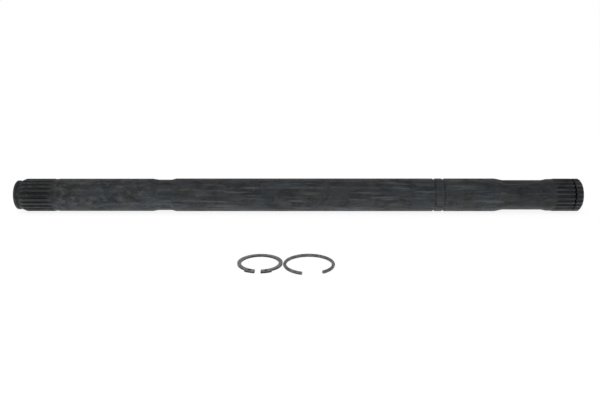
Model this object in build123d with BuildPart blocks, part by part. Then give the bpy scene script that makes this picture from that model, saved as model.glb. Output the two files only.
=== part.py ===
from build123d import *
import os
from math import acos, cos, pi, radians, sin, tan

# A bare drive-shaft bar with an external spline at each end, and its two retaining rings.
# The bar's axis is X and its mid-length is the origin. The bar and the loose rings rest on one level.
# All lengths are in millimetres. Distances named "..._from_left" or "..._from_right" are measured
# along the bar from that end face.

# The bar's turned shape
bar_length = 419.4
body_radius = 12.3
left_land_radius = 12.13
left_seat_radius = 11.42
neck_radius = 11.05
shoulder_radius = 11.86
undercut_radius = 11.9

collar_radius = 10.85
left_face_radius = 10.25
right_face_radius = 10.7

left_undercut_from_left = 28.2
left_land_from_left = 31.6
land_step = 0.6
left_land_end_from_left = 100.9
left_seat_from_left = 105.4
left_seat_end_from_left = 115.3
body_from_left = 118.5

body_end_from_right = 63.1
neck_from_right = 57.5
neck_end_from_right = 28.2
shoulder_from_right = 24.4
shoulder_end_from_right = 21.6
right_teeth_from_right = 19.3

# Two narrow grooves that locate the right boot's collar
boot_groove_centres_from_right = (108.8, 101.9)
boot_groove_mouth = 2.3
boot_groove_floor = 0.7
boot_groove_depth = 0.55

# Splines: side-fit involute teeth, the same at both ends
teeth = 22
diametral_pitch = 24
pressure_angle = radians(30)
inch = 25.4
pitch_radius = teeth / diametral_pitch * inch / 2
tip_radius = (teeth + 1) / diametral_pitch * inch / 2
root_radius = (teeth - 1.35) / diametral_pitch * inch / 2
base_radius = pitch_radius * cos(pressure_angle)

left_teeth_from_left = 7.3
left_run_out_from_left = 26.1
left_run_out_end_from_left = 28.7
right_run_out_from_right = 18.2
right_run_out_end_from_right = 22.0
right_end_chamfer = 1.25
tooth_end_chamfer = 0.3

# How far the first gap of each spline is turned from +Y, in degrees
left_first_gap = -6.1
right_first_gap = 6.0

# The gap cutters reach past the tooth tips, past the bar's ends and past each run-out cone
cutter_margin = 0.3
cutter_overrun = 1.0
cone_lead = 0.1
cone_reach = 1.8

# Ring grooves
wire_groove_from_left = 2.1
wire_groove_width = 2.1
wire_groove_radius = 10.25
circlip_groove_from_right = 6.65
circlip_groove_width = 1.3
circlip_groove_radius = 11.6

# Centre drillings, one in each end face
centre_mouth_radius = 2.65
centre_pilot_radius = 1.25
centre_cone_angle = radians(30)
centre_depth = 6.0

# External circlip with two drilled lugs, loose
circlip_inner_radius = 11.5
circlip_outer_radius = 13.8
circlip_eccentricity = 0.2
circlip_thickness = 1.2
circlip_gap = 3.5
circlip_lug_radius = 15.1
circlip_lug_tip_angle = 33.0
circlip_lug_foot_angle = 38.0
circlip_hole_radius = 1.0
circlip_hole_circle_radius = 13.05
circlip_hole_angle = 22.0
circlip_position = (-23.1, -106.7)
circlip_gap_direction = 267.3

# Round-wire snap ring, loose
wire_diameter = 2.0
wire_ring_radius = 14.7
wire_ring_gap_angle = 49.2
wire_ring_position = (6.7, -109.5)
wire_ring_gap_direction = 277.8
wire_end_chamfer = 0.25

left_face = -bar_length / 2
right_face = bar_length / 2
rest_level = -body_radius


def from_left(distance):
    return left_face + distance


def from_right(distance):
    return right_face - distance


def involute(angle):
    return tan(angle) - angle


def gap_half_angle(radius):
    """Half the angle that the gap between two teeth spans at this radius, in radians."""
    flank_angle = acos(base_radius / radius)
    return pi / (2 * teeth) - involute(pressure_angle) + involute(flank_angle)


def flank_point(radius, side):
    """A point on an involute flank of a gap. The gap opens along the sketch's X."""
    angle = side * gap_half_angle(radius)
    return (radius * cos(angle), radius * sin(angle))


def boot_groove(centre_from_right):
    """Outline points of one rounded V groove, each with its blend radius."""
    centre = from_right(centre_from_right)
    floor = body_radius - boot_groove_depth
    return [
        (centre - boot_groove_mouth / 2, body_radius, 0.3),
        (centre - boot_groove_floor / 2, floor, 0.3),
        (centre + boot_groove_floor / 2, floor, 0.3),
        (centre + boot_groove_mouth / 2, body_radius, 0.3),
    ]


def turned_solid(outline):
    """A solid turned about X from outline points of position, radius and blend radius."""
    points = [(x, radius) for x, radius, blend in outline]
    blends = [blend for x, radius, blend in outline]
    start = (points[0][0], 0)
    end = (points[-1][0], 0)
    with BuildPart() as turned:
        with BuildSketch(Plane.XY):
            with BuildLine():
                FilletPolyline(start, *points, end, radius=blends)
                Line(end, start)
            make_face()
        revolve(axis=Axis.X)
    return turned.part


def gap_cutters(open_end, run_out_start, run_out_end, surface_radius, first_gap):
    """The cutters for one spline's gaps. Each gap's floor rises along a cone to the bar's surface."""
    run_out = run_out_end - run_out_start
    rise = surface_radius - root_radius
    cone_start = run_out_start - cone_lead * run_out
    cone_end = run_out_start + cone_reach * run_out
    flank_radii = (root_radius, pitch_radius, tip_radius + cutter_margin)
    with BuildPart() as gap:
        with BuildSketch(Plane.YZ.offset(open_end)):
            with BuildLine():
                lower = Spline(*[flank_point(radius, -1) for radius in flank_radii])
                upper = Spline(*[flank_point(radius, 1) for radius in flank_radii])
                ThreePointArc(lower @ 0, (root_radius, 0), upper @ 0)
                Line(lower @ 1, upper @ 1)
            make_face()
        extrude(amount=cone_end - open_end)
        with BuildSketch(Plane.XY):
            with BuildLine():
                Polyline(
                    (cone_start, 0),
                    (cone_start, root_radius - cone_lead * rise),
                    (cone_end, root_radius + cone_reach * rise),
                    (cone_end, 0),
                    close=True,
                )
            make_face()
        revolve(axis=Axis.X, mode=Mode.SUBTRACT)
    return [gap.part.rotate(Axis.X, first_gap + i * 360 / teeth) for i in range(teeth)]


# The bar's outline as turned, before the teeth are cut
bar_outline = [
    (left_face, left_face_radius, 0),
    (from_left(collar_radius - left_face_radius), collar_radius, 0),
    (from_left(wire_groove_from_left), collar_radius, 0.1),
    (from_left(wire_groove_from_left), wire_groove_radius, 0.4),
    (from_left(wire_groove_from_left + wire_groove_width), wire_groove_radius, 0.4),
    (from_left(wire_groove_from_left + wire_groove_width), collar_radius, 0.1),
    (from_left(left_teeth_from_left), tip_radius, 0.5),
    (from_left(left_undercut_from_left - tooth_end_chamfer), tip_radius, 0.1),
    (from_left(left_undercut_from_left), undercut_radius, 0),
    (from_left(left_land_from_left - land_step), undercut_radius, 0.5),
    (from_left(left_land_from_left), left_land_radius, 0.4),
    (from_left(left_land_end_from_left), left_land_radius, 2.5),
    (from_left(left_seat_from_left), left_seat_radius, 2.5),
    (from_left(left_seat_end_from_left), left_seat_radius, 1.5),
    (from_left(body_from_left), body_radius, 1.5),
    *boot_groove(boot_groove_centres_from_right[0]),
    *boot_groove(boot_groove_centres_from_right[1]),
    (from_right(body_end_from_right), body_radius, 10.0),
    (from_right(neck_from_right), neck_radius, 10.0),
    (from_right(neck_end_from_right), neck_radius, 6.0),
    (from_right(shoulder_from_right), shoulder_radius, 3.0),
    (from_right(shoulder_end_from_right), shoulder_radius, 2.0),
    (from_right(right_teeth_from_right), tip_radius, 2.0),
    (from_right(circlip_groove_from_right), tip_radius, 0.08),
    (from_right(circlip_groove_from_right), circlip_groove_radius, 0.1),
    (from_right(circlip_groove_from_right - circlip_groove_width), circlip_groove_radius, 0.1),
    (from_right(circlip_groove_from_right - circlip_groove_width), tip_radius, 0.08),
    (from_right(right_end_chamfer), tip_radius, 0.4),
    (right_face, right_face_radius, 0),
]

centre_cone_length = (centre_mouth_radius - centre_pilot_radius) / tan(centre_cone_angle)
centre_drilling = [
    (left_face, centre_mouth_radius, 0),
    (from_left(centre_cone_length), centre_pilot_radius, 0),
    (from_left(centre_depth), centre_pilot_radius, 0),
]

bar_blank = turned_solid(bar_outline)
left_centre = turned_solid(centre_drilling)
left_gaps = gap_cutters(
    from_left(-cutter_overrun),
    from_left(left_run_out_from_left),
    from_left(left_run_out_end_from_left),
    undercut_radius,
    left_first_gap,
)
right_gaps = gap_cutters(
    from_right(-cutter_overrun),
    from_right(right_run_out_from_right),
    from_right(right_run_out_end_from_right),
    tip_radius,
    right_first_gap,
)

with BuildPart() as axle_shaft:
    add(bar_blank)
    add([*left_gaps, *right_gaps], mode=Mode.SUBTRACT)
    add([left_centre, left_centre.mirror(Plane.YZ)], mode=Mode.SUBTRACT)


def floor_plane(position, direction):
    """A plane on the rest level, centred on a loose ring, whose X points at the ring's gap."""
    angle = radians(direction)
    return Plane(
        origin=(*position, rest_level), x_dir=(cos(angle), sin(angle), 0), z_dir=(0, 0, 1)
    )


def polar_point(radius, degrees):
    return (radius * cos(radians(degrees)), radius * sin(radians(degrees)))


# The circlip: an eccentric band with a lug on each side of the gap and a plier hole in each lug
with BuildPart() as external_circlip:
    with BuildSketch(floor_plane(circlip_position, circlip_gap_direction)):
        with Locations((-circlip_eccentricity, 0)):
            Circle(circlip_outer_radius)
        for side in (-1, 1):
            with BuildLine():
                foot = polar_point(circlip_inner_radius, side * circlip_lug_foot_angle)
                shoulder = polar_point(circlip_outer_radius - 0.4, side * circlip_lug_foot_angle)
                tip = polar_point(circlip_lug_radius, side * circlip_lug_tip_angle)
                crown = polar_point(circlip_lug_radius, side * circlip_lug_tip_angle / 2)
                front = (circlip_lug_radius, 0)
                Polyline(front, (circlip_inner_radius, 0), foot, shoulder, tip)
                ThreePointArc(tip, crown, front)
            make_face()
        Circle(circlip_inner_radius, mode=Mode.SUBTRACT)
        with Locations((circlip_lug_radius, 0)):
            Rectangle(circlip_lug_radius, circlip_gap, mode=Mode.SUBTRACT)
        for side in (-1, 1):
            with Locations(polar_point(circlip_hole_circle_radius, side * circlip_hole_angle)):
                Circle(circlip_hole_radius, mode=Mode.SUBTRACT)
    extrude(amount=circlip_thickness)

# The snap ring: one length of round wire with a wide gap and chamfered ends
wire_start_direction = wire_ring_gap_direction + wire_ring_gap_angle / 2
wire_centre = (*wire_ring_position, rest_level + wire_diameter / 2)
wire_section_plane = Plane(
    origin=wire_centre,
    x_dir=(*polar_point(1, wire_start_direction), 0),
    z_dir=(*polar_point(1, wire_start_direction - 90), 0),
)

with BuildPart() as wire_snap_ring:
    with BuildSketch(wire_section_plane):
        with Locations((wire_ring_radius, 0)):
            Circle(wire_diameter / 2)
    revolve(axis=Axis(wire_centre, (0, 0, 1)), revolution_arc=360 - wire_ring_gap_angle)
    chamfer(wire_snap_ring.faces().filter_by(GeomType.PLANE).edges(), wire_end_chamfer)

os.makedirs("parts", exist_ok=True)
axle_shaft.part.label = "axle_shaft"
export_step(axle_shaft.part, "parts/axle_shaft.step")
external_circlip.part.label = "external_circlip"
export_step(external_circlip.part, "parts/external_circlip.step")
wire_snap_ring.part.label = "wire_snap_ring"
export_step(wire_snap_ring.part, "parts/wire_snap_ring.step")
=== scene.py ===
from math import acos, asin, atan2, ceil, cos, degrees, pi, radians, sin, sqrt, tan
import bmesh
import bpy
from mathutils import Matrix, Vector


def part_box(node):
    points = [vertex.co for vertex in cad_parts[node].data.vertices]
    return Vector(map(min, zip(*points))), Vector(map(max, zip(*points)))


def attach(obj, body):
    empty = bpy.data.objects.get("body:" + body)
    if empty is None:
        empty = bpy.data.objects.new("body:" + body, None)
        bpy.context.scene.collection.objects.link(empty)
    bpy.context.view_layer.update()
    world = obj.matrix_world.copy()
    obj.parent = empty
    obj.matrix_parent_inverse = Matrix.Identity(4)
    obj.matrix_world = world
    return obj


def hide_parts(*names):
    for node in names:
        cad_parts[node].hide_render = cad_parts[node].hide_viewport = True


# The looks of a bare splined drive-shaft bar and its two loose retaining rings.
# Every length is in metres, in the frame's own axes: X along the bar, -Y towards the rings, Z up.

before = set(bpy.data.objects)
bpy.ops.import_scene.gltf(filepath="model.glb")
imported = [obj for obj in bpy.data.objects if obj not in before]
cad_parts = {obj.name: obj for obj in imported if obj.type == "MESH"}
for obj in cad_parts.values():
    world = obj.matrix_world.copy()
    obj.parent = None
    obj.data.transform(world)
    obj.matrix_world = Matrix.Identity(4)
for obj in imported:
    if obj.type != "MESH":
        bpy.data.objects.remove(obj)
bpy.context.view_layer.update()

# The bar's sizes. Distances named "..._from_left" or "..._from_right" run from that end face.
shaft_low, shaft_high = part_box("axle_shaft")
left_face = shaft_low.x
right_face = shaft_high.x
rest_level = shaft_low.z
body_radius = -shaft_low.z

left_land_radius = 0.01213
left_seat_radius = 0.01142
neck_radius = 0.01105
shoulder_radius = 0.01186
undercut_radius = 0.0119
collar_radius = 0.01085
left_face_radius = 0.01025
right_face_radius = 0.0107

wire_groove_from_left = 0.0021
wire_groove_width = 0.0021
wire_groove_radius = 0.01025
left_teeth_from_left = 0.0073
left_run_out = (0.0261, 0.0287)
left_undercut_from_left = 0.0282
left_undercut_ramp = 0.0003
left_land_from_left = 0.0316
left_land_ramp = 0.0006
left_land_end_from_left = 0.1009
left_seat_from_left = 0.1054
left_seat_end_from_left = 0.1153
body_from_left = 0.1185

boot_groove_centres_from_right = (0.1088, 0.1019)
boot_groove_mouth = 0.0023
boot_groove_floor = 0.0007
boot_groove_depth = 0.00055
body_end_from_right = 0.0631
neck_from_right = 0.0575
neck_end_from_right = 0.0282
shoulder_from_right = 0.0244
shoulder_end_from_right = 0.0216
right_teeth_from_right = 0.0193
right_run_out = (0.0182, 0.022)
circlip_groove_from_right = 0.00665
circlip_groove_width = 0.0013
circlip_groove_radius = 0.0116
right_end_chamfer = 0.00125

centre_mouth_radius = 0.00265
centre_pilot_radius = 0.00125
centre_cone_length = (centre_mouth_radius - centre_pilot_radius) / tan(radians(30))
centre_depth = 0.006
edge_break = 0.00015
centre_edge_break = 0.00012

# Splines: 22 teeth, 24 diametral pitch, 30 degree side fit
teeth = 22
inch = 0.0254
pressure_angle = radians(30)
pitch_radius = teeth / 24 * inch / 2
tip_radius = (teeth + 1) / 24 * inch / 2
root_radius = (teeth - 1.35) / 24 * inch / 2
base_radius = pitch_radius * cos(pressure_angle)
half_pitch = pi / teeth
tooth_edge = 0.0001
tooth_fillet = 0.00018

# How far the first gap of each spline is turned from +Y
left_first_gap = radians(-6.1)
right_first_gap = radians(6.0)

# Circlip. Its angles are in degrees.
circlip_inner_radius = 0.0115
circlip_outer_radius = 0.0138
circlip_eccentricity = 0.0002
circlip_gap = 0.0035
circlip_lug_radius = 0.0151
circlip_lug_tip_angle = 33.0
circlip_lug_foot_angle = 38.0
circlip_lug_foot_radius = 0.0134
circlip_hole_radius = 0.001
circlip_hole_circle_radius = 0.01305
circlip_hole_angle = 22.0
circlip_gap_direction = 267.3
stamped_edge = 0.00012

# Snap ring. Its angles are in degrees.
wire_radius = 0.001
wire_ring_radius = 0.0147
wire_ring_gap_angle = 49.2
wire_ring_gap_direction = 277.8
wire_end_chamfer = 0.00025


def from_left(distance):
    return left_face + distance


def from_right(distance):
    return right_face - distance


# --- Outlines -------------------------------------------------------------------------------

# The most degrees that a rounded corner turns in one chord, and the radians below which it is straight
widest_chord_turn = 15.0
straight_enough = 1e-4


def corner_points(before, corner, after, blend):
    """A corner of an outline as chords of its blend arc, and the angle that it turns to the left."""
    back = (Vector(before) - Vector(corner)).normalized()
    ahead = (Vector(after) - Vector(corner)).normalized()
    turn = atan2(ahead.cross(back), -ahead.dot(back))
    if blend == 0 or abs(turn) < straight_enough:
        return [tuple(corner)], turn
    reach = blend * tan(abs(turn) / 2)
    start = Vector(corner) + back * reach
    bisector = (back + ahead).normalized()
    centre = Vector(corner) + bisector * blend / cos(turn / 2)
    spoke = start - centre
    chords = max(2, ceil(degrees(abs(turn)) / widest_chord_turn))
    points = []
    for i in range(chords + 1):
        angle = turn * i / chords
        points.append(
            (
                centre.x + spoke.x * cos(angle) - spoke.y * sin(angle),
                centre.y + spoke.x * sin(angle) + spoke.y * cos(angle),
            )
        )
    return points, turn


def arc_points(radius, start, end, step=3.0, centre=(0.0, 0.0)):
    """Points on an arc from one angle to another, in degrees, with both ends."""
    chords = max(1, ceil(abs(end - start) / step))
    angles = [radians(start + (end - start) * i / chords) for i in range(chords + 1)]
    return [(centre[0] + radius * cos(a), centre[1] + radius * sin(a)) for a in angles]


# --- The bar ----------------------------------------------------------------------------------


def boot_groove(centre_from_right):
    """The four corners of one boot groove: position, radius, blend."""
    centre = from_right(centre_from_right)
    floor = body_radius - boot_groove_depth
    blend = 0.0003
    return [
        (centre - boot_groove_mouth / 2, body_radius, blend),
        (centre - boot_groove_floor / 2, floor, blend),
        (centre + boot_groove_floor / 2, floor, blend),
        (centre + boot_groove_mouth / 2, body_radius, blend),
    ]


def bar_outline():
    """The bar's outline from one centre drilling's floor to the other's: position, radius, blend."""
    wire_groove_end = from_left(wire_groove_from_left + wire_groove_width)
    circlip_groove_end = from_right(circlip_groove_from_right - circlip_groove_width)
    return [
        (from_left(centre_depth), 0, 0),
        (from_left(centre_depth), centre_pilot_radius, 0),
        (from_left(centre_cone_length), centre_pilot_radius, 0.0001),
        (left_face, centre_mouth_radius, centre_edge_break),
        (left_face, left_face_radius, edge_break),
        (from_left(collar_radius - left_face_radius), collar_radius, edge_break),
        (from_left(wire_groove_from_left), collar_radius, 0.0001),
        (from_left(wire_groove_from_left), wire_groove_radius, 0.0004),
        (wire_groove_end, wire_groove_radius, 0.0004),
        (wire_groove_end, collar_radius, 0.0001),
        (from_left(left_teeth_from_left), tip_radius, 0.0005),
        (from_left(left_undercut_from_left - left_undercut_ramp), tip_radius, 0.0001),
        (from_left(left_undercut_from_left), undercut_radius, 0),
        (from_left(left_land_from_left - left_land_ramp), undercut_radius, 0.0005),
        (from_left(left_land_from_left), left_land_radius, 0.0004),
        (from_left(left_land_end_from_left), left_land_radius, 0.0025),
        (from_left(left_seat_from_left), left_seat_radius, 0.0025),
        (from_left(left_seat_end_from_left), left_seat_radius, 0.0015),
        (from_left(body_from_left), body_radius, 0.0015),
        *boot_groove(boot_groove_centres_from_right[0]),
        *boot_groove(boot_groove_centres_from_right[1]),
        (from_right(body_end_from_right), body_radius, 0.01),
        (from_right(neck_from_right), neck_radius, 0.01),
        (from_right(neck_end_from_right), neck_radius, 0.006),
        (from_right(shoulder_from_right), shoulder_radius, 0.003),
        (from_right(shoulder_end_from_right), shoulder_radius, 0.002),
        (from_right(right_teeth_from_right), tip_radius, 0.002),
        (from_right(circlip_groove_from_right), tip_radius, 0.00008),
        (from_right(circlip_groove_from_right), circlip_groove_radius, 0.0001),
        (circlip_groove_end, circlip_groove_radius, 0.0001),
        (circlip_groove_end, tip_radius, 0.00008),
        (from_right(right_end_chamfer), tip_radius, 0.0004),
        (right_face, right_face_radius, edge_break),
        (right_face, centre_mouth_radius, centre_edge_break),
        (from_right(centre_cone_length), centre_pilot_radius, 0.0001),
        (from_right(centre_depth), centre_pilot_radius, 0),
        (from_right(centre_depth), 0, 0),
    ]


def longest_step(x):
    """How far apart the bar's rings of vertices may be: closest where the tooth gaps run out."""
    left_run_out_step, right_run_out_step, spline_step, plain_step = 0.0002, 0.0003, 0.004, 0.01
    past_left_undercut, past_right_run_out, spline_end = 0.001, 0.0005, 0.028
    if left_run_out[0] < x - left_face < left_undercut_from_left + past_left_undercut:
        return left_run_out_step
    if right_run_out[0] < right_face - x < right_run_out[1] + past_right_run_out:
        return right_run_out_step
    from_end = min(x - left_face, right_face - x)
    return spline_step if from_end < spline_end else plain_step


def bar_rows():
    """The bar's rings of vertices from left to right: position, radius, and wear on outer corners."""
    outline = bar_outline()
    wear_reach = 0.0005
    most_wear = 0.4
    finished = 1e-6
    rows = [(*outline[0][:2], 0.0)]
    for before, (x, radius, blend), after in zip(outline, outline[1:], outline[2:]):
        points, turn = corner_points(before[:2], (x, radius), after[:2], blend)
        wear = max(0.0, min(most_wear, -turn / radians(90)))
        last = Vector(rows[-1][:2])
        run = Vector(points[0]) - last
        if run.length > 3 * wear_reach:
            step = run.normalized() * wear_reach
            here = last + step
            stop = Vector(points[0]) - step
            rows.append((*here, 0.0))
            while (stop - here).length > finished:
                rest = stop - here
                move = min(rest.length, longest_step(here.x + finished))
                here = here + rest.normalized() * move
                rows.append((*here, 0.0))
        rows.extend((*point, wear) for point in points)
    rows.append((*outline[-1][:2], 0.0))
    return rows


def tooth_half_angle(radius):
    """Half the angle that a tooth spans at this radius."""
    flank = acos(base_radius / radius)
    gap = pi / (2 * teeth) - (tan(pressure_angle) - pressure_angle) + tan(flank) - flank
    return half_pitch - gap


def gap_floor(x):
    """Radius of the floor of the gaps between the teeth. It rises along a cone past each spline."""
    left = x - left_face
    right = right_face - x
    if left < right:
        (start, end), surface, distance = left_run_out, undercut_radius, left
    else:
        (start, end), surface, distance = right_run_out, tip_radius, right
    rise = (surface - root_radius) / (end - start)
    return root_radius + rise * max(0.0, distance - start)


def first_gap(x):
    """How far the section is turned. It drifts from one spline's place to the other's between them."""
    start = from_left(left_land_from_left)
    end = from_right(shoulder_from_right)
    share = max(0.0, min(1.0, (x - start) / (end - start)))
    return left_first_gap + (right_first_gap - left_first_gap) * share


def corner_middle(start, corner, end):
    """The middle of the rounded corner between two points."""
    return tuple(0.25 * a + 0.5 * b + 0.25 * c for a, b, c in zip(start, corner, end))


def half_tooth(top, floor):
    """Angle and radius of nine points from a tooth's middle to the middle of the gap beside it."""
    edge = min(tooth_edge, (top - floor) / 4)
    fillet = min(tooth_fillet, (top - floor) / 3)
    crest_angle = tooth_half_angle(top)
    floor_angle = tooth_half_angle(floor)
    edge_start = (crest_angle - edge / top, top)
    edge_end = (tooth_half_angle(top - edge), top - edge)
    fillet_start = (tooth_half_angle(floor + fillet), floor + fillet)
    fillet_end = (floor_angle + fillet / floor, floor)
    middle = (edge_end[1] + fillet_start[1]) / 2
    return [
        (0.0, top),
        edge_start,
        corner_middle(edge_start, (crest_angle, top), edge_end),
        edge_end,
        (tooth_half_angle(middle), middle),
        fillet_start,
        corner_middle(fillet_start, (floor_angle, floor), fillet_end),
        fillet_end,
        (half_pitch, floor),
    ]


full_tooth = half_tooth(tip_radius, root_radius)

# The wear on the half tooth's nine points, and the gap depths at which a section changes
tooth_edge_wear = (0.0, 0.35, 0.5, 0.3, 0.0, 0.0, 0.0, 0.0, 0.0)
shallowest_gap = 0.00004
worn_gap_depth = 0.0004
no_depth = 1e-9


def section(x, top):
    """One tooth's share of the bar's section: angle, radius and edge wear, from gap to gap.

    Where a gap runs out, its points slide to the full tooth's angles as its depth goes to nothing.
    """
    floor = gap_floor(x)
    if top - floor > no_depth:
        share = min(1.0, (top - floor) / shallowest_gap)
        half = [
            (a + (b - a) * share, radius)
            for (a, _), (b, radius) in zip(full_tooth, half_tooth(top, floor))
        ]
        wear = [w * min(1.0, (top - floor) / worn_gap_depth) for w in tooth_edge_wear]
    else:
        half = [(angle, top) for angle, _ in full_tooth]
        wear = [0.0] * len(half)
    right = [(angle, radius, w) for (angle, radius), w in zip(half, wear)]
    left = [(-angle, radius, w) for angle, radius, w in reversed(right[1:-1])]
    return [*left, *right]


# How much painted shade darkens the tooth gaps and the boot grooves. The circlip groove gets the full
# painted shade.
tooth_gap_shade = 0.4
boot_groove_shade = 0.5

# How deep below the bar's outline its outer corners are still worn
crest_depth = 0.0003


def gap_shade_share(x):
    """How much painted shade the tooth gaps get along the bar: none on the left lead."""
    start = left_teeth_from_left + 0.0003
    length = 0.0015
    return max(0.0, min(1.0, (x - left_face - start) / length))


def at_circlip_groove(x):
    right = right_face - x
    return abs(right - circlip_groove_from_right + circlip_groove_width / 2) < circlip_groove_width


def at_boot_groove(x):
    right = right_face - x
    return any(abs(right - centre) < boot_groove_mouth / 2 for centre in boot_groove_centres_from_right)


def groove_shade(x, radius):
    """How much painted shade darkens the narrow grooves, from 0 to 1, on a ring of vertices."""
    groove_edge = 0.00005
    if at_circlip_groove(x):
        return 1.0 if radius < tip_radius - groove_edge else 0.0
    if at_boot_groove(x):
        return boot_groove_shade * min(1.0, (body_radius - radius) / boot_groove_depth)
    return 0.0


def make_bar():
    """The bar as one closed mesh, with where its edges are worn and where shade is painted into it."""
    points, faces, wears, painted_shades = [], [], [], []
    rings = []
    for x, top, row_wear in bar_rows():
        if top == 0:
            rings.append([len(points)])
            points.append((x, 0.0, 0.0))
            wears.append(0.0)
            painted_shades.append(0.0)
            continue
        ring = []
        share = section(x, top)
        grooved = at_circlip_groove(x) or at_boot_groove(x)
        for tooth in range(teeth):
            for angle, radius, wear in share:
                turn = first_gap(x) + (2 * tooth + 1) * half_pitch + angle
                ring.append(len(points))
                points.append((x, radius * cos(turn), radius * sin(turn)))
                on_crest = top - radius < crest_depth and not grooved
                wears.append(max(wear, row_wear) if on_crest else wear)
                depth = max(0.0, top - radius) / (tip_radius - root_radius)
                # Painted shade: the tooth gaps darker by their depth, the narrow grooves darker still
                painted_shades.append(max(tooth_gap_shade * depth * gap_shade_share(x), groove_shade(x, top)))
        rings.append(ring)
    for near, far in zip(rings, rings[1:]):
        count = max(len(near), len(far))
        for i in range(count):
            j = (i + 1) % count
            if len(near) == 1:
                faces.append((near[0], far[j], far[i]))
            elif len(far) == 1:
                faces.append((near[i], near[j], far[0]))
            else:
                faces.append((near[i], near[j], far[j], far[i]))
    return new_piece("axle_bar", points, faces, {"wear": wears, "painted_shade": painted_shades})


# --- Meshes -----------------------------------------------------------------------------------


def new_piece(name, points, faces, measures):
    """A closed mesh with its doubled points joined, outward normals, and its point measures."""
    joined_below = 2e-7
    sharp_above = radians(38)
    mesh = bpy.data.meshes.new(name)
    mesh.from_pydata(points, [], faces)
    for measure, values in measures.items():
        layer = mesh.attributes.new(measure, "FLOAT", "POINT")
        layer.data.foreach_set("value", values)
    work = bmesh.new()
    work.from_mesh(mesh)
    bmesh.ops.remove_doubles(work, verts=work.verts, dist=joined_below)
    bmesh.ops.dissolve_degenerate(work, edges=work.edges, dist=joined_below)
    bmesh.ops.recalc_face_normals(work, faces=work.faces)
    for face in work.faces:
        face.smooth = True
    for edge in work.edges:
        edge.smooth = edge.calc_face_angle(0.0) < sharp_above
    work.to_mesh(mesh)
    work.free()
    piece = bpy.data.objects.new(name, mesh)
    bpy.context.scene.collection.objects.link(piece)
    weighted = piece.modifiers.new("flat faces stay flat", "WEIGHTED_NORMAL")
    weighted.keep_sharp = True
    return piece


# --- The circlip ------------------------------------------------------------------------------


def circlip_contour():
    """The circlip's outline seen from above, counterclockwise, with its gap along +X."""
    outer_centre = (-circlip_eccentricity, 0.0)
    half_gap = circlip_gap / 2
    gap_inner = degrees(asin(half_gap / circlip_inner_radius))
    gap_outer = degrees(asin(half_gap / circlip_lug_radius))
    lug_tip = Vector(arc_points(circlip_lug_radius, 0, circlip_lug_tip_angle)[-1])
    lug_foot = Vector(arc_points(circlip_lug_foot_radius, 0, circlip_lug_foot_angle)[-1])
    along = (lug_foot - lug_tip).normalized()
    offset = lug_tip - Vector(outer_centre)
    dot = offset.dot(along)
    reach = -dot - sqrt(dot * dot - offset.length_squared + circlip_outer_radius**2)
    joint = lug_tip + along * reach
    joint_angle = degrees(atan2(joint.y, joint.x + circlip_eccentricity))
    crown = arc_points(circlip_lug_radius, gap_outer, circlip_lug_tip_angle)
    band = arc_points(circlip_outer_radius, joint_angle, 360 - joint_angle, centre=outer_centre)
    bore = arc_points(circlip_inner_radius, 360 - gap_inner, gap_inner)
    tip_blend, crown_blend, joint_blend, bore_blend = 0.0005, 0.0006, 0.0008, 0.0003
    side = [(*crown[0], tip_blend), *[(*p, 0.0) for p in crown[1:-1]], (*crown[-1], crown_blend)]
    other_side = [(x, -y, blend) for x, y, blend in reversed(side)]
    corners = [
        *side,
        (*band[0], joint_blend),
        *[(*p, 0.0) for p in band[1:-1]],
        (*band[-1], joint_blend),
        *other_side,
        (*bore[0], bore_blend),
        *[(*p, 0.0) for p in bore[1:-1]],
        (*bore[-1], bore_blend),
    ]
    widest_share = 0.9
    contour = []
    for i, (x, y, blend) in enumerate(corners):
        before = corners[i - 1][:2]
        after = corners[(i + 1) % len(corners)][:2]
        nearest = min((Vector(other) - Vector((x, y))).length for other in (before, after))
        fitting_blend = min(blend, nearest * widest_share)
        contour.extend(corner_points(before, (x, y), after, fitting_blend)[0])
    return contour


def inset(loop, distance):
    """A closed loop moved to its left, into the material."""
    moved = []
    for i, point in enumerate(loop):
        ahead = Vector(loop[(i + 1) % len(loop)]) - Vector(point)
        behind = Vector(point) - Vector(loop[i - 1])
        direction = (ahead.normalized() + behind.normalized()).normalized()
        moved.append((point[0] - direction.y * distance, point[1] + direction.x * distance))
    return moved


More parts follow.
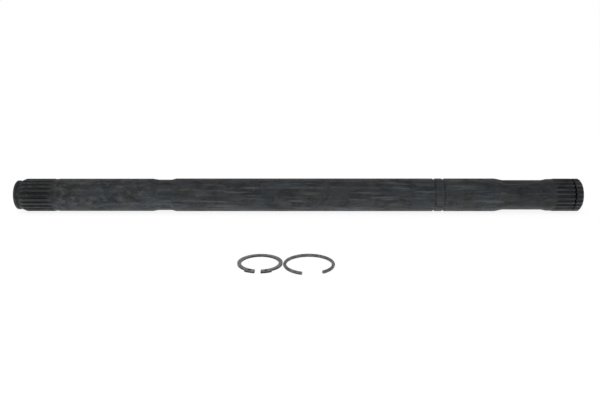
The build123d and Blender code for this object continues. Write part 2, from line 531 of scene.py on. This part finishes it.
def make_circlip():
    """The stamped circlip, with rounded edges and a drilled lug on each side of its gap."""
    low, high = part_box("external_circlip")
    thickness = high.z - low.z
    heading = radians(circlip_gap_direction)
    middle_x = (low.x + high.x) / 2 + circlip_eccentricity * cos(heading)
    middle_y = high.y - circlip_outer_radius + circlip_eccentricity * sin(heading)
    loops = [circlip_contour()]
    for side in (-1, 1):
        hole_centre = arc_points(circlip_hole_circle_radius, 0, side * circlip_hole_angle)[-1]
        loops.append(arc_points(circlip_hole_radius, 360, 0, step=15, centre=hole_centre)[:-1])
    slope = stamped_edge * (1 - cos(radians(45)))
    # How far each ring of vertices is drawn in, and its height
    levels = [
        (stamped_edge, 0.0),
        (slope, slope),
        (0.0, stamped_edge),
        (0.0, thickness - stamped_edge),
        (slope, thickness - slope),
        (stamped_edge, thickness),
    ]
    level_wear = (0.0, 0.0, 0.0, 0.0, 0.8, 0.4)
    # Painted shade on the circlip's outer and inner walls and in its holes
    wall_shade = 0.8
    hole_shade = 1.0
    points, faces, wears, painted_shades = [], [], [], []
    caps = {0: [], len(levels) - 1: []}
    for number, loop in enumerate(loops):
        loop_shade = wall_shade if number == 0 else hole_shade
        rings = []
        for level, (shrink, height) in enumerate(levels):
            ring = []
            for x, y in inset(loop, shrink):
                ring.append(len(points))
                points.append(
                    (
                        middle_x + x * cos(heading) - y * sin(heading),
                        middle_y + x * sin(heading) + y * cos(heading),
                        low.z + height,
                    )
                )
                wears.append(level_wear[level])
                on_wall = stamped_edge <= height <= thickness - stamped_edge
                painted_shades.append(loop_shade if on_wall else 0.0)
            rings.append(ring)
            if level in caps:
                caps[level].append(ring)
        for lower, upper in zip(rings, rings[1:]):
            for i in range(len(lower)):
                j = (i + 1) % len(lower)
                faces.append((lower[i], lower[j], upper[j], upper[i]))
    faces.extend(face for rings in caps.values() for face in filled(points, rings))
    return new_piece("circlip", points, faces, {"wear": wears, "painted_shade": painted_shades})


def filled(points, rings):
    """Triangles that fill the first ring, less the others."""
    work = bmesh.new()
    for ring in rings:
        corners = [work.verts.new(points[i]) for i in ring]
        for i, corner in enumerate(corners):
            work.edges.new((corners[i - 1], corner))
    work.verts.index_update()
    numbers = [i for ring in rings for i in ring]
    result = bmesh.ops.triangle_fill(work, use_beauty=True, use_dissolve=False, edges=work.edges)
    work.verts.index_update()
    triangles = [
        tuple(numbers[corner.index] for corner in face.verts)
        for face in result["geom"]
        if isinstance(face, bmesh.types.BMFace)
    ]
    work.free()
    return triangles


# --- The snap ring ------------------------------------------------------------------------------


def make_snap_ring():
    """One length of round wire bent to an open ring, with chamfered ends and painted shade underneath.
    """
    low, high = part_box("wire_snap_ring")
    middle_x = (low.x + high.x) / 2
    middle_y = high.y - wire_ring_radius - wire_radius
    middle_z = low.z + wire_radius
    start = wire_ring_gap_direction + wire_ring_gap_angle / 2
    sweep = 360 - wire_ring_gap_angle
    chamfer_angle = degrees(wire_end_chamfer / wire_ring_radius)
    around = 28
    steps = 120
    end_wear = 0.8
    chamfer_wear = 0.6
    inner_sweep = sweep - 2 * chamfer_angle
    stations = [(0.0, wire_radius - wire_end_chamfer, end_wear)]
    for i in range(steps + 1):
        angle = chamfer_angle + inner_sweep * i / steps
        stations.append((angle, wire_radius, chamfer_wear if i in (0, steps) else 0.0))
    stations.append((sweep, wire_radius - wire_end_chamfer, end_wear))
    points, faces, wears, painted_shades, rings = [], [], [], [], []
    for angle, radius, wear in stations:
        turn = radians(start + angle)
        ring = []
        for k in range(around):
            phase = 2 * pi * k / around
            reach = wire_ring_radius + radius * cos(phase)
            ring.append(len(points))
            points.append(
                (
                    middle_x + reach * cos(turn),
                    middle_y + reach * sin(turn),
                    middle_z + radius * sin(phase),
                )
            )
            wears.append(wear)
            # Painted shade: the wire darker towards its underside
            painted_shades.append(0.5 - 0.5 * sin(phase))
        rings.append(ring)
    for near, far in zip(rings, rings[1:]):
        for i in range(around):
            j = (i + 1) % around
            faces.append((near[i], near[j], far[j], far[i]))
    faces.append(tuple(rings[0]))
    faces.append(tuple(reversed(rings[-1])))
    return new_piece("snap_ring", points, faces, {"wear": wears, "painted_shade": painted_shades})


# --- Materials ----------------------------------------------------------------------------------


class Finish:
    """A material under construction, with short ways to add nodes to it."""

    def __init__(self, name):
        self.material = bpy.data.materials.new(name)
        self.material.use_nodes = True
        self.tree = self.material.node_tree
        self.tree.nodes.clear()
        place = self.tree.nodes.new("ShaderNodeTexCoord").outputs["Object"]
        self.place = self.vector("SCALE", place, scale=1000.0)

    def put(self, socket, value):
        """Links the value to the socket, or sets the socket to it where it is a number or colour."""
        if isinstance(value, bpy.types.NodeSocket):
            self.tree.links.new(value, socket)
        else:
            socket.default_value = value

    def vector(self, operation, vector, scale=None, by=None):
        """Vector maths on a place in millimetres."""
        node = self.tree.nodes.new("ShaderNodeVectorMath")
        node.operation = operation
        self.put(node.inputs[0], vector)
        if by is not None:
            self.put(node.inputs[1], by)
        if scale is not None:
            node.inputs["Scale"].default_value = scale
        return node.outputs["Vector"]

    def math(self, operation, a, b):
        node = self.tree.nodes.new("ShaderNodeMath")
        node.operation = operation
        self.put(node.inputs[0], a)
        self.put(node.inputs[1], b)
        return node.outputs["Value"]

    def noise(self, scale, detail, stretch=(1.0, 1.0, 1.0), roughness=0.55, distortion=0.0):
        """Cloudy noise from 0 to 1, with about `scale` features per millimetre before the stretch."""
        node = self.tree.nodes.new("ShaderNodeTexNoise")
        self.put(node.inputs["Vector"], self.vector("MULTIPLY", self.place, by=stretch))
        node.inputs["Scale"].default_value = scale
        node.inputs["Detail"].default_value = detail
        node.inputs["Roughness"].default_value = roughness
        node.inputs["Distortion"].default_value = distortion
        return node.outputs["Fac"]

    def spread(self, value, low, high, new_low=0.0, new_high=1.0):
        """Maps a range of values to another, smoothly, and holds the ends."""
        node = self.tree.nodes.new("ShaderNodeMapRange")
        node.interpolation_type = "SMOOTHSTEP"
        self.put(node.inputs["Value"], value)
        node.inputs["From Min"].default_value = low
        node.inputs["From Max"].default_value = high
        node.inputs["To Min"].default_value = new_low
        node.inputs["To Max"].default_value = new_high
        return node.outputs["Result"]

    def blend(self, share, first, second, kind="MIX"):
        """Mixes two colours. Share 0 gives the first."""
        node = self.tree.nodes.new("ShaderNodeMixRGB")
        node.blend_type = kind
        self.put(node.inputs["Fac"], share)
        for socket, colour in zip(("Color1", "Color2"), (first, second)):
            self.put(node.inputs[socket], colour)
        return node.outputs["Color"]

    def measure(self, name):
        """One of the mesh's own point measures."""
        node = self.tree.nodes.new("ShaderNodeAttribute")
        node.attribute_name = name
        return node.outputs["Fac"]

    def position(self):
        """The place's separate X, Y and Z, in millimetres."""
        node = self.tree.nodes.new("ShaderNodeSeparateXYZ")
        self.put(node.inputs[0], self.place)
        return node.outputs

    def bump(self, height, depth, under=None):
        """Raises the surface by height times depth, in metres, on top of another bump."""
        node = self.tree.nodes.new("ShaderNodeBump")
        node.inputs["Distance"].default_value = depth
        self.put(node.inputs["Height"], height)
        if under is not None:
            self.put(node.inputs["Normal"], under)
        return node.outputs["Normal"]

    def multiply(self, colour, other):
        """Multiplies two colours, or a colour by a value."""
        return self.blend(1.0, colour, other, kind="MULTIPLY")

    def finish(self, colour, roughness, normal, metallic, specular):
        """The finished material. The specular level is one number for the whole surface."""
        shader = self.tree.nodes.new("ShaderNodeBsdfPrincipled")
        self.put(shader.inputs["Base Color"], colour)
        self.put(shader.inputs["Roughness"], roughness)
        self.put(shader.inputs["Normal"], normal)
        self.put(shader.inputs["Metallic"], metallic)
        shader.inputs["Specular IOR Level"].default_value = specular
        output = self.tree.nodes.new("ShaderNodeOutputMaterial")
        self.tree.links.new(shader.outputs["BSDF"], output.inputs["Surface"])
        return self.material


# Places along the bar, in millimetres, where the finish changes
hardened_left = (-181.0, -178.0)
hardened_right = (144.0, 153.0)
land_end = (-112.0, -95.0)
rubbed_end = (203.5, 205.0)

# How much of its brightness the finish keeps, or gains, there
hardened_left_shade = 0.7
hardened_right_shade = 0.72
rubbed_end_shade = 1.5
# The brightness kept under the full painted shade of gaps, grooves and ring sides
darkest_painted_shade = 0.12


def phosphate_steel():
    """Oiled phosphate on turned steel: charcoal, cloudy, wiped lengthwise, rubbed on its corners."""
    steel = Finish("blackened_steel")
    cloud = steel.noise(0.16, 5.0, (0.55, 1.0, 1.0), roughness=0.62, distortion=0.7)
    wipe = steel.noise(0.42, 4.0, (0.075, 1.0, 1.0), roughness=0.62)
    fleck = steel.noise(0.9, 3.0, (0.5, 1.0, 1.0), roughness=0.7, distortion=0.5)
    blotch = steel.noise(0.3, 4.0, (0.7, 1.0, 1.0), roughness=0.6, distortion=0.4)
    grain = steel.noise(5.0, 2.0)
    turning = steel.noise(3.2, 2.0, (1.0, 0.02, 0.02))
    tint = steel.noise(0.055, 2.0)
    along = steel.position()["X"]
    painted_shade = steel.measure("painted_shade")

    dark = (0.009, 0.0105, 0.0118, 1.0)
    middle = (0.0255, 0.0285, 0.0308, 1.0)
    pale = (0.066, 0.0705, 0.0725, 1.0)
    rubbed = (0.05, 0.052, 0.054, 1.0)
    cool = (0.93, 1.0, 1.06, 1.0)
    warm = (1.05, 1.0, 0.97, 1.0)

    # The left land has pale patches, and fewer wipe marks than the rest
    on_land = steel.spread(along, *land_end, 1.0, 0.0)
    patches = steel.math("MULTIPLY", steel.spread(blotch, 0.5, 0.66, 0.0, 0.6), on_land)
    off_land = steel.math("SUBTRACT", 1.0, steel.math("MULTIPLY", on_land, 0.55))
    pale_wipes = steel.math("MULTIPLY", steel.spread(wipe, 0.51, 0.68, 0.0, 0.8), off_land)
    dark_wipes = steel.spread(wipe, 0.47, 0.32, 0.0, 0.6)

    colour = steel.blend(steel.spread(cloud, 0.34, 0.6), dark, middle)
    colour = steel.blend(patches, colour, pale)
    colour = steel.blend(steel.spread(fleck, 0.54, 0.76, 0.0, 0.55), colour, pale)
    colour = steel.blend(pale_wipes, colour, pale)
    colour = steel.blend(dark_wipes, colour, dark)
    colour = steel.multiply(colour, steel.blend(steel.spread(tint, 0.4, 0.6), cool, warm))
    colour = steel.multiply(colour, steel.spread(grain, 0.3, 0.7, 0.82, 1.18))

    # Painted shade in the gaps and grooves, and the darker or rubbed stretches at the bar's ends
    colour = steel.multiply(colour, steel.spread(painted_shade, 0.05, 1.0, 1.0, darkest_painted_shade))
    left_end = steel.spread(along, *hardened_left, hardened_left_shade, 1.0)
    right_end = steel.spread(along, *hardened_right, 1.0, hardened_right_shade)
    rubbed_tip = steel.spread(along, *rubbed_end, 1.0, rubbed_end_shade)
    ends = steel.math("MULTIPLY", steel.math("MULTIPLY", left_end, right_end), rubbed_tip)
    colour = steel.multiply(colour, ends)
    worn = steel.math("MULTIPLY", steel.measure("wear"), steel.spread(fleck, 0.38, 0.62, 0.15, 0.85))
    colour = steel.blend(worn, colour, rubbed)

    roughness = steel.spread(cloud, 0.3, 0.7, 0.62, 0.46)
    roughness = steel.math("SUBTRACT", roughness, steel.math("MULTIPLY", worn, 0.12))
    roughness = steel.math("ADD", roughness, steel.spread(grain, 0.3, 0.7, -0.04, 0.04))
    normal = steel.bump(turning, depth=0.00001)
    normal = steel.bump(grain, depth=0.000014, under=normal)
    normal = steel.bump(fleck, depth=0.00002, under=normal)

    # Where the painted shade is deepest, in the circlip groove, the steel turns metallic, so that the
    # groove's pale reflection is taken away as well
    metallic = steel.spread(painted_shade, 0.6, 1.0)
    return steel.finish(colour, roughness, normal, metallic, specular=0.25)


def spring_steel(name, dark, pale):
    """Dark grey spring steel with fine marks, lighter edges, and painted shade on its sides or
    underneath.
    """
    steel = Finish(name)
    cloud = steel.noise(0.5, 4.0, roughness=0.6)
    marks = steel.noise(3.0, 3.0)
    grain = steel.noise(9.0, 2.0)
    worn_edge = (0.22, 0.22, 0.222, 1.0)

    colour = steel.blend(steel.spread(cloud, 0.35, 0.65), dark, pale)
    colour = steel.multiply(colour, steel.spread(marks, 0.3, 0.7, 0.78, 1.22))
    # Painted shade on the ring's sides or underneath
    colour = steel.multiply(colour, steel.spread(steel.measure("painted_shade"), 0.0, 1.0, 1.0, darkest_painted_shade))
    worn = steel.math("MULTIPLY", steel.measure("wear"), steel.spread(marks, 0.35, 0.6, 0.3, 0.8))
    colour = steel.blend(worn, colour, worn_edge)

    roughness = steel.spread(cloud, 0.3, 0.7, 0.5, 0.36)
    normal = steel.bump(marks, depth=0.000008)
    normal = steel.bump(grain, depth=0.000005, under=normal)
    return steel.finish(colour, roughness, normal, metallic=0.1, specular=0.25)


# --- The pieces -----------------------------------------------------------------------------------


def place_piece(piece, body, node, material):
    """Finishes a piece: what it rides on, and the CAD node that it stands for."""
    piece.data.materials.append(material)
    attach(piece, body)
    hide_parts(node)


place_piece(make_bar(), "shaft", "axle_shaft", phosphate_steel())
strip_steel = spring_steel(
    "spring_steel_strip", dark=(0.13, 0.13, 0.131, 1.0), pale=(0.24, 0.24, 0.242, 1.0)
)
wire_steel = spring_steel(
    "spring_steel_wire", dark=(0.09, 0.09, 0.091, 1.0), pale=(0.2, 0.2, 0.202, 1.0)
)
place_piece(make_circlip(), "circlip", "external_circlip", strip_steel)
place_piece(make_snap_ring(), "snap_ring", "wire_snap_ring", wire_steel)

# --- The studio -----------------------------------------------------------------------------------


def white_surface():
    """A softly glowing white table that shows the camera only a faint shadow.

    Its two looks are for the light that it sends to the object and for what the camera sees of it.
    """
    light_look = {"albedo": 0.5, "glow": 0.95}
    camera_look = {"albedo": 0.2, "glow": 0.88}
    table = bpy.data.materials.new("white_table")
    table.use_nodes = True
    nodes, links = table.node_tree.nodes, table.node_tree.links
    nodes.clear()
    choice = nodes.new("ShaderNodeMixShader")
    links.new(nodes.new("ShaderNodeLightPath").outputs["Is Camera Ray"], choice.inputs["Fac"])
    for look, socket in ((light_look, choice.inputs[1]), (camera_look, choice.inputs[2])):
        shader = nodes.new("ShaderNodeBsdfPrincipled")
        shader.inputs["Base Color"].default_value = (*[look["albedo"]] * 3, 1.0)
        shader.inputs["Roughness"].default_value = 0.9
        shader.inputs["Specular IOR Level"].default_value = 0.0
        shader.inputs["Emission Color"].default_value = (1.0, 1.0, 1.0, 1.0)
        shader.inputs["Emission Strength"].default_value = look["glow"]
        links.new(shader.outputs["BSDF"], socket)
    links.new(choice.outputs["Shader"], nodes.new("ShaderNodeOutputMaterial").inputs["Surface"])
    return table


def make_floor():
    """A flat floor under the object, far wider than any view of it."""
    reach = 30.0
    mesh = bpy.data.meshes.new("floor")
    corners = [(-reach, -reach), (reach, -reach), (reach, reach), (-reach, reach)]
    mesh.from_pydata([(x, y, rest_level) for x, y in corners], [], [(0, 1, 2, 3)])
    floor = bpy.data.objects.new("floor", mesh)
    floor.data.materials.append(white_surface())
    bpy.context.scene.collection.objects.link(floor)


def make_world():
    """White surroundings. They light the object less than they look, so that it stays dark."""
    light_strength = 0.6
    seen_strength = 1.0
    world = bpy.data.worlds.new("studio")
    world.use_nodes = True
    background = world.node_tree.nodes["Background"]
    background.inputs["Color"].default_value = (1.0, 1.0, 1.0, 1.0)
    path = world.node_tree.nodes.new("ShaderNodeLightPath")
    strength = world.node_tree.nodes.new("ShaderNodeMapRange")
    strength.inputs["To Min"].default_value = light_strength
    strength.inputs["To Max"].default_value = seen_strength
    world.node_tree.links.new(path.outputs["Is Camera Ray"], strength.inputs["Value"])
    world.node_tree.links.new(strength.outputs["Result"], background.inputs["Strength"])
    bpy.context.scene.world = world


def softbox(name, position, size, power):
    """A square area light that faces the middle of the bar."""
    lamp = bpy.data.lights.new(name, "AREA")
    lamp.shape = "SQUARE"
    lamp.size = size
    lamp.energy = power
    light = bpy.data.objects.new(name, lamp)
    light.location = position
    light.rotation_euler = Vector(position).to_track_quat("Z", "Y").to_euler()
    bpy.context.scene.collection.objects.link(light)


def make_camera():
    """The camera, square to the bar and looking a little down on it."""
    degrees_down = 16.9
    camera_data = bpy.data.cameras.new("camera")
    camera_data.lens = 42.0
    camera = bpy.data.objects.new("camera", camera_data)
    camera.location = (0.00125, -0.5028, 0.1487)
    camera.rotation_euler = (radians(90 - degrees_down), 0.0, 0.0)
    bpy.context.scene.collection.objects.link(camera)
    bpy.context.scene.camera = camera


make_floor()
make_world()
softbox("key_softbox", position=(-0.3, -0.6, 1.2), size=1.0, power=4.0)
make_camera()
bpy.context.scene.view_settings.view_transform = "Standard"

bpy.context.view_layer.update()
